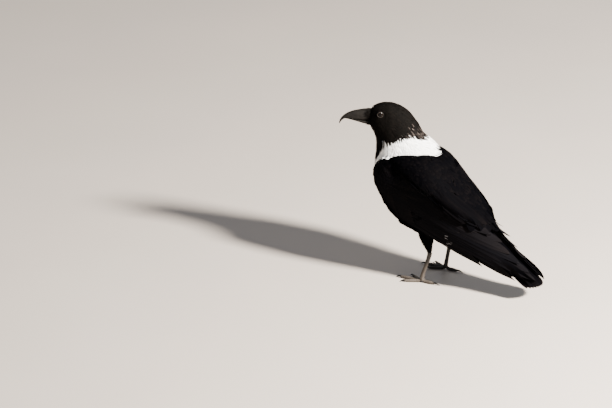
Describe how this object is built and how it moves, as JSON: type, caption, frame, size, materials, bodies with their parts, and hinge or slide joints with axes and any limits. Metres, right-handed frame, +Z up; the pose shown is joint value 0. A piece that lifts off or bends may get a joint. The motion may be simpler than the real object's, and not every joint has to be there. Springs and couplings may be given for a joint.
{
  "type": "pied crow",
  "caption": "life-size still model of a pied crow standing with folded wings, head turned to its left; glossy black with a white collar and breast",
  "frame": {"origin": "on the floor, midway between the bill tip and the tail tip and midway across the bird", "axes": "+X is the way the body faces, +Y is the bird's left side, +Z is up"},
  "size_m": [0.3754, 0.1218, 0.3025],
  "materials": {
    "black": "glossy black feathers with a faint blue sheen",
    "hood": "soft brownish black head feathers",
    "white": "matt white feathers",
    "bill": "satin black horn",
    "claw": "satin black horn",
    "leg": "dull dark grey scales",
    "eye": "wet dark brown"
  },
  "bodies": {
    "root": {"head": "hood", "neck": "hood", "neck_collar": "white", "breast": "white", "trunk": "black", "tail": "black", "bill_upper": "bill", "bill_lower": "bill", "eye_left": "eye", "wing_left": "black", "wing_left_cape": "black", "thigh_left": "black", "tarsus_left": "leg", "toe_left_middle": "leg", "claw_left_middle": "claw", "toe_left_inner": "leg", "claw_left_inner": "claw", "toe_left_outer": "leg", "claw_left_outer": "claw", "toe_left_hind": "leg", "claw_left_hind": "claw", "eye_right": "eye", "wing_right": "black", "wing_right_cape": "black", "thigh_right": "black", "tarsus_right": "leg", "toe_right_middle": "leg", "claw_right_middle": "claw", "toe_right_inner": "leg", "claw_right_inner": "claw", "toe_right_outer": "leg", "claw_right_outer": "claw", "toe_right_hind": "leg", "claw_right_hind": "claw"}
  },
  "joints": []
}
